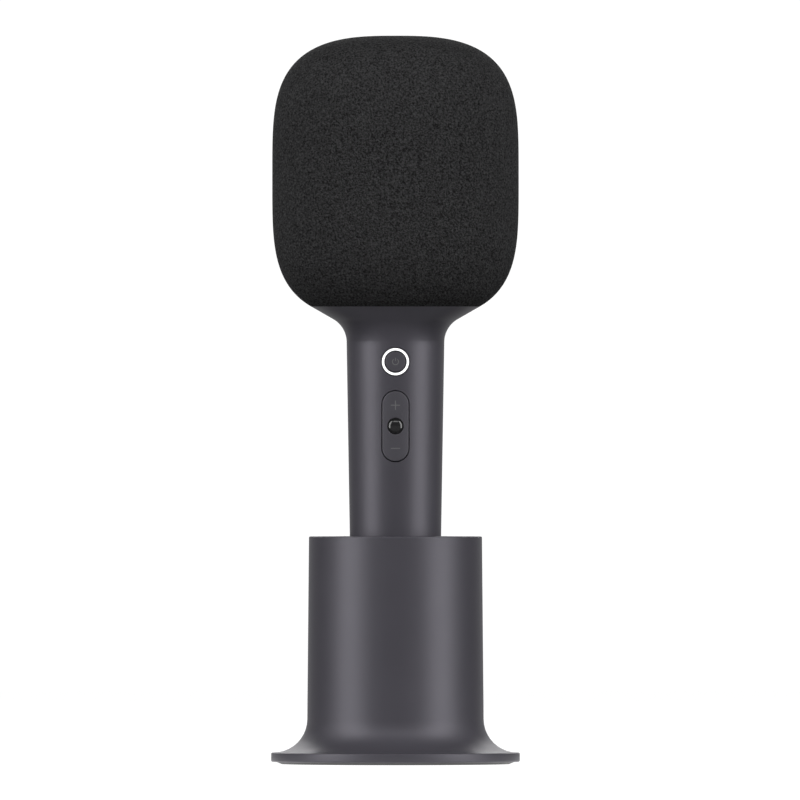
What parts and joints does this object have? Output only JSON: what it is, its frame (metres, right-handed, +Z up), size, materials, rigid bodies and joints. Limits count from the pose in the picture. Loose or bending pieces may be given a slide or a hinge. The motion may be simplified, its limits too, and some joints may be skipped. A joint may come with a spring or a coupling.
{
  "type": "karaoke microphone",
  "caption": "Cordless karaoke microphone with an oval foam head over a built-in speaker, thumb buttons on a round tapered handle, standing in a flared weighted desk stand.",
  "frame": {"origin": "centre of the stand's underside, on the table", "axes": "+Z up along the handle; the buttons face -Y; +X is to the right of a person looking at the buttons"},
  "size_m": [0.0888, 0.0888, 0.26],
  "materials": {
    "black_shell": "fine satin, slightly violet black",
    "black_inner": "plain moulded black",
    "grey_inner": "plain moulded grey",
    "glossy_black": "polished black",
    "button_black": "fine matt, faint grey symbol",
    "white_light": "frosted, lit white",
    "lamp": "frosted, lit white",
    "foam": "open-cell acoustic foam, fine grain",
    "soft_rubber": "matt moulded rubber",
    "surround_rubber": "smooth butyl",
    "cage_metal": "black coated",
    "weight_iron": "rough cast, oiled",
    "screw_steel": "zinc plated",
    "black_screw": "black oxide",
    "motor_steel": "zinc plated, turned",
    "magnet": "dark sintered ferrite",
    "basket": "black powder coat",
    "paper_cone": "pressed black paper pulp",
    "spider_cloth": "impregnated yellow cloth",
    "coil": "former with copper winding",
    "board_green": "green solder mask",
    "switch_steel": "folded cover",
    "plunger_black": "moulded",
    "shield_steel": "folded shield can",
    "connector_steel": "nickel plated",
    "cell_sleeve": "blue heat-shrink sleeve",
    "nickel_strip": "nickel strip",
    "capsule_metal": "spun can",
    "lead_red": "insulated lead",
    "lead_grey": "screened lead",
    "gasket": "closed-cell gasket"
  },
  "bodies": {
    "stand": {"stand_shell": "black_shell", "base_plate": "black_inner", "stand_weight": "weight_iron", "stand_screws": "black_screw", "socket_cup": "black_inner", "mouth_ring": "soft_rubber", "socket_pad": "soft_rubber", "foot_ring": "soft_rubber"},
    "microphone": {"handle_shell": "black_shell", "head_frame": "black_inner", "frame_screws": "screw_steel", "windscreen": "foam", "grille_front": "cage_metal", "grille_rear": "cage_metal", "light_ring": "white_light", "volume_up_plunger": "plunger_black", "volume_down_plunger": "plunger_black", "button_carrier": "grey_inner", "main_board": "board_green", "board_screws": "screw_steel", "power_switch": "switch_steel", "volume_up_switch": "switch_steel", "effect_switch": "switch_steel", "volume_down_switch": "switch_steel", "wireless_module": "shield_steel", "status_leds": "lamp", "usb_socket": "connector_steel", "bottom_cap": "black_shell", "cap_screws": "black_screw", "battery_cell": "cell_sleeve", "battery_tabs": "nickel_strip", "battery_cradle": "grey_inner", "speaker_box": "black_inner", "speaker_baffle": "black_inner", "baffle_screws": "black_screw", "baffle_gasket": "gasket", "driver_gasket": "gasket", "speaker_frame": "basket", "top_plate": "motor_steel", "speaker_magnet": "magnet", "speaker_yoke": "motor_steel", "cone_surround": "surround_rubber", "spider": "spider_cloth", "radiator_surround": "surround_rubber", "voice_capsule": "capsule_metal", "capsule_boot": "soft_rubber", "capsule_bracket": "grey_inner", "speaker_leads": "lead_red", "capsule_lead": "lead_grey"},
    "power_key": {"power_button": "button_black", "power_plunger": "plunger_black"},
    "volume_key": {"volume_rocker": "button_black"},
    "effect_key": {"effect_button": "glossy_black", "effect_plunger": "plunger_black"},
    "cone": {"speaker_cone": "paper_cone", "voice_coil": "coil", "dust_cap": "paper_cone"},
    "radiator": {"passive_radiator": "basket"}
  },
  "joints": [
    {"name": "microphone_lift", "type": "slide", "parent": "stand", "child": "microphone", "axis": [0, 0, 1], "range_m": [0, 0.06]},
    {"name": "power_press", "type": "slide", "parent": "microphone", "child": "power_key", "axis": [0, 1, 0], "range_m": [0, 0.00035], "stiffness_N_per_m": 4000},
    {"name": "effect_press", "type": "slide", "parent": "microphone", "child": "effect_key", "axis": [0, 1, 0], "range_m": [0, 0.00035], "stiffness_N_per_m": 4000},
    {"name": "rocker_tilt", "type": "hinge", "parent": "microphone", "child": "volume_key", "pos_m": [0, -0.0119, 0.1206], "axis": [1, 0, 0], "range_deg": [-2, 2], "stiffness_Nm_per_rad": 0.25},
    {"name": "cone_stroke", "type": "slide", "parent": "microphone", "child": "cone", "axis": [0, 1, 0], "range_m": [-0.0015, 0.0015], "stiffness_N_per_m": 1500, "deforming": ["cone_surround", "spider"]},
    {"name": "radiator_stroke", "type": "slide", "parent": "microphone", "child": "radiator", "axis": [0, 1, 0], "range_m": [-0.002, 0.002], "stiffness_N_per_m": 1500, "deforming": ["radiator_surround"]}
  ]
}
